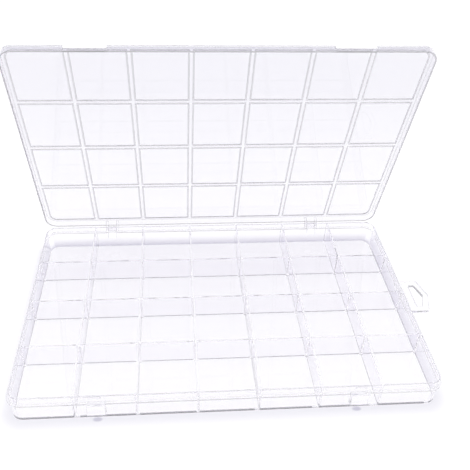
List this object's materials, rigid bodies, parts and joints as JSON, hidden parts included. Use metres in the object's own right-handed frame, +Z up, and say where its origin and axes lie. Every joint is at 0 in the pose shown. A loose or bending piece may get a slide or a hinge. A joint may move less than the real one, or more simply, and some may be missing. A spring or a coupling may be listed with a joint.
{
  "type": "bead storage box",
  "caption": "Shallow clear plastic storage box with a hinged, snap-shut lid, a grid of compartments with lift-out dividers, and a hang loop at one end.",
  "frame": {"origin": "Centre of the tray's flat foot, on the surface the box stands on.", "axes": "+X along the long side, towards the end with the hang loop. +Y towards the hinged side. +Z up, out of the compartments."},
  "size_m": [0.3634, 0.2296, 0.2316],
  "materials": {
    "clear_plastic": "clear, glossy moulded polystyrene with a faint lavender cast in its thick edges"
  },
  "bodies": {
    "tray": {"tray": "clear_plastic"},
    "lid": {"lid": "clear_plastic"},
    "divider_c1_r1": {"divider_c1_r1": "clear_plastic"},
    "divider_c1_r2": {"divider_c1_r2": "clear_plastic"},
    "divider_c1_r3": {"divider_c1_r3": "clear_plastic"},
    "divider_c2_r1": {"divider_c2_r1": "clear_plastic"},
    "divider_c2_r2": {"divider_c2_r2": "clear_plastic"},
    "divider_c2_r3": {"divider_c2_r3": "clear_plastic"},
    "divider_c3_r1": {"divider_c3_r1": "clear_plastic"},
    "divider_c3_r2": {"divider_c3_r2": "clear_plastic"},
    "divider_c3_r3": {"divider_c3_r3": "clear_plastic"},
    "divider_c4_r1": {"divider_c4_r1": "clear_plastic"},
    "divider_c4_r2": {"divider_c4_r2": "clear_plastic"},
    "divider_c4_r3": {"divider_c4_r3": "clear_plastic"},
    "divider_c5_r1": {"divider_c5_r1": "clear_plastic"},
    "divider_c5_r2": {"divider_c5_r2": "clear_plastic"},
    "divider_c5_r3": {"divider_c5_r3": "clear_plastic"},
    "divider_c6_r1": {"divider_c6_r1": "clear_plastic"},
    "divider_c6_r2": {"divider_c6_r2": "clear_plastic"},
    "divider_c6_r3": {"divider_c6_r3": "clear_plastic"},
    "divider_c7_r1": {"divider_c7_r1": "clear_plastic"},
    "divider_c7_r2": {"divider_c7_r2": "clear_plastic"},
    "divider_c7_r3": {"divider_c7_r3": "clear_plastic"}
  },
  "joints": [
    {"name": "lid_hinge", "type": "hinge", "parent": "tray", "child": "lid", "pos_m": [0, 0.112, 0.018], "axis": [-1, 0, 0], "range_deg": [-74, 106]},
    {"name": "divider_c1_r1_lift", "type": "slide", "parent": "tray", "child": "divider_c1_r1", "axis": [0, 0, 1], "range_m": [0, 0.03]},
    {"name": "divider_c1_r2_lift", "type": "slide", "parent": "tray", "child": "divider_c1_r2", "axis": [0, 0, 1], "range_m": [0, 0.03]},
    {"name": "divider_c1_r3_lift", "type": "slide", "parent": "tray", "child": "divider_c1_r3", "axis": [0, 0, 1], "range_m": [0, 0.03]},
    {"name": "divider_c2_r1_lift", "type": "slide", "parent": "tray", "child": "divider_c2_r1", "axis": [0, 0, 1], "range_m": [0, 0.03]},
    {"name": "divider_c2_r2_lift", "type": "slide", "parent": "tray", "child": "divider_c2_r2", "axis": [0, 0, 1], "range_m": [0, 0.03]},
    {"name": "divider_c2_r3_lift", "type": "slide", "parent": "tray", "child": "divider_c2_r3", "axis": [0, 0, 1], "range_m": [0, 0.03]},
    {"name": "divider_c3_r1_lift", "type": "slide", "parent": "tray", "child": "divider_c3_r1", "axis": [0, 0, 1], "range_m": [0, 0.03]},
    {"name": "divider_c3_r2_lift", "type": "slide", "parent": "tray", "child": "divider_c3_r2", "axis": [0, 0, 1], "range_m": [0, 0.03]},
    {"name": "divider_c3_r3_lift", "type": "slide", "parent": "tray", "child": "divider_c3_r3", "axis": [0, 0, 1], "range_m": [0, 0.03]},
    {"name": "divider_c4_r1_lift", "type": "slide", "parent": "tray", "child": "divider_c4_r1", "axis": [0, 0, 1], "range_m": [0, 0.03]},
    {"name": "divider_c4_r2_lift", "type": "slide", "parent": "tray", "child": "divider_c4_r2", "axis": [0, 0, 1], "range_m": [0, 0.03]},
    {"name": "divider_c4_r3_lift", "type": "slide", "parent": "tray", "child": "divider_c4_r3", "axis": [0, 0, 1], "range_m": [0, 0.03]},
    {"name": "divider_c5_r1_lift", "type": "slide", "parent": "tray", "child": "divider_c5_r1", "axis": [0, 0, 1], "range_m": [0, 0.03]},
    {"name": "divider_c5_r2_lift", "type": "slide", "parent": "tray", "child": "divider_c5_r2", "axis": [0, 0, 1], "range_m": [0, 0.03]},
    {"name": "divider_c5_r3_lift", "type": "slide", "parent": "tray", "child": "divider_c5_r3", "axis": [0, 0, 1], "range_m": [0, 0.03]},
    {"name": "divider_c6_r1_lift", "type": "slide", "parent": "tray", "child": "divider_c6_r1", "axis": [0, 0, 1], "range_m": [0, 0.03]},
    {"name": "divider_c6_r2_lift", "type": "slide", "parent": "tray", "child": "divider_c6_r2", "axis": [0, 0, 1], "range_m": [0, 0.03]},
    {"name": "divider_c6_r3_lift", "type": "slide", "parent": "tray", "child": "divider_c6_r3", "axis": [0, 0, 1], "range_m": [0, 0.03]},
    {"name": "divider_c7_r1_lift", "type": "slide", "parent": "tray", "child": "divider_c7_r1", "axis": [0, 0, 1], "range_m": [0, 0.03]},
    {"name": "divider_c7_r2_lift", "type": "slide", "parent": "tray", "child": "divider_c7_r2", "axis": [0, 0, 1], "range_m": [0, 0.03]},
    {"name": "divider_c7_r3_lift", "type": "slide", "parent": "tray", "child": "divider_c7_r3", "axis": [0, 0, 1], "range_m": [0, 0.03]}
  ]
}
